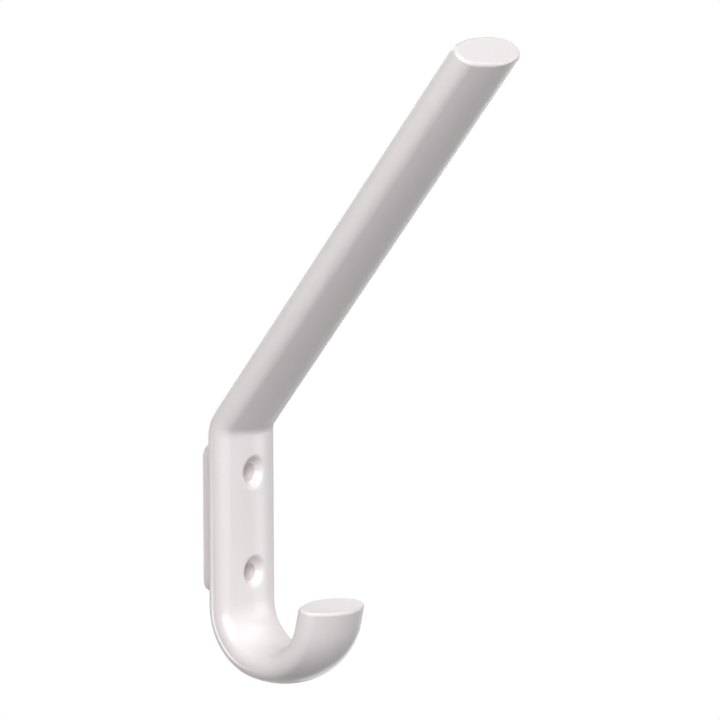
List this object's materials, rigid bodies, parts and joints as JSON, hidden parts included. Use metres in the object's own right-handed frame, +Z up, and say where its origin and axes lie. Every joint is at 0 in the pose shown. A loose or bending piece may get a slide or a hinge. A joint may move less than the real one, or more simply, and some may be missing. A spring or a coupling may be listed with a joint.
{
  "type": "hat and coat hook",
  "caption": "One-piece moulded wall hook: one oval bar with two countersunk screw holes in its strap, a long peg leaning forward for a hat, and an upturned coat hook below.",
  "frame": {"origin": "on the wall, on the back face of the wall pad, midway between the two screws", "axes": "+Z up along the wall and the strap, +Y into the wall, the hook faces -Y, +X to the right seen from the front"},
  "size_m": [0.023, 0.0901, 0.1651],
  "materials": {
    "white_nylon": "smooth gloss as moulded"
  },
  "bodies": {
    "root": {"hook_body": "white_nylon"}
  },
  "joints": []
}
